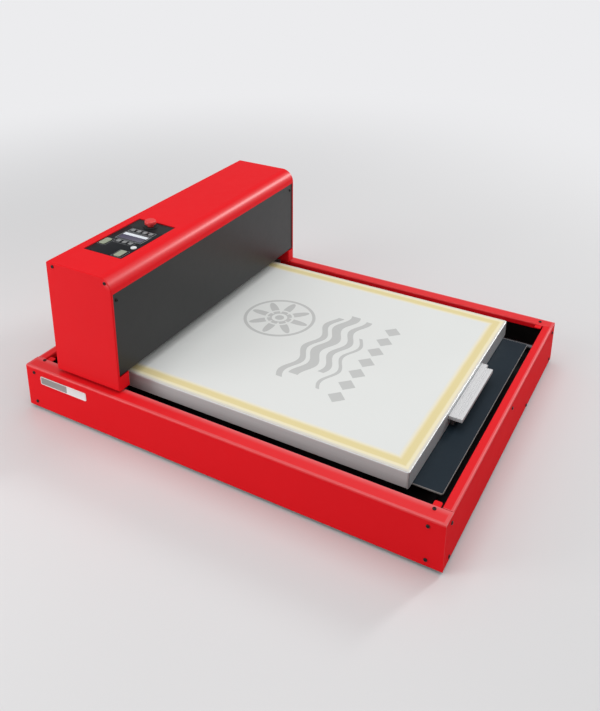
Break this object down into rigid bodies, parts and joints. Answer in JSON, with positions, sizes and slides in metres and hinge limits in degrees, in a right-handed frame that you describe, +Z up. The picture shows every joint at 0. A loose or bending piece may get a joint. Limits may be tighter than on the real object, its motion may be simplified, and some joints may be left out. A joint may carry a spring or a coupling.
{
  "type": "digital screen making machine",
  "caption": "Flatbed screen making machine: red tray base with a framed mesh screen and a wide printing head that travels over it.",
  "frame": {"origin": "centre of the base at the level of the undersides of its feet", "axes": "+X along the head travel, away from the parked head; +Y from the operator side to the far side; +Z up"},
  "size_m": [0.92, 0.724, 0.3695],
  "materials": {
    "red_paint": "semi-gloss powder coat",
    "black_paint": "satin",
    "dark_steel": "satin",
    "slate_plate": "satin",
    "machined_aluminium": "machined",
    "frame_aluminium": "mill finish",
    "shaft_steel": "ground",
    "mesh_cloth": "woven screen mesh",
    "stop_white": "moulded",
    "black_plastic": "fine grain",
    "display_window": "gloss",
    "grey_key": "satin",
    "white_key": "satin",
    "stop_red": "gloss",
    "foot_rubber": "matt"
  },
  "bodies": {
    "base": {"bed_plate": "slate_plate", "bed_support_1": "dark_steel", "bed_support_2": "dark_steel", "bed_support_3": "dark_steel", "bottom_pan": "dark_steel", "corner_tab_left_far": "red_paint", "corner_tab_left_near": "red_paint", "corner_tab_right_far": "red_paint", "corner_tab_right_near": "red_paint", "far_panel": "red_paint", "foot_1": "foot_rubber", "foot_2": "foot_rubber", "foot_3": "foot_rubber", "foot_4": "foot_rubber", "frame_bar_far": "frame_aluminium", "frame_bar_left": "frame_aluminium", "frame_bar_near": "frame_aluminium", "frame_bar_right": "frame_aluminium", "frame_stop": "stop_white", "guide_shaft_far": "shaft_steel", "guide_shaft_near": "shaft_steel", "left_panel": "red_paint", "near_panel": "red_paint", "power_inlet": "black_plastic", "right_panel": "red_paint", "screen_mesh": "mesh_cloth"},
    "head": {"carriage_far": "machined_aluminium", "carriage_near": "machined_aluminium", "control_deck": "black_plastic", "display": "display_window", "front_panel": "black_paint", "head_cap_far": "red_paint", "head_cap_near": "red_paint", "head_cover": "red_paint", "head_plate_far": "machined_aluminium", "head_plate_near": "machined_aluminium", "keypad": "grey_key", "leg_cover_far": "red_paint", "leg_cover_near": "red_paint", "start_key": "white_key", "stop_ring": "black_plastic", "thermal_bar": "machined_aluminium", "under_panel": "dark_steel"},
    "stop_button": {"stop_button": "stop_red"}
  },
  "joints": [
    {"name": "head_travel", "type": "slide", "parent": "base", "child": "head", "axis": [1, 0, 0], "range_m": [0, 0.6]},
    {"name": "stop_press", "type": "slide", "parent": "head", "child": "stop_button", "axis": [0, 0, -1], "range_m": [0, 0.004]}
  ]
}
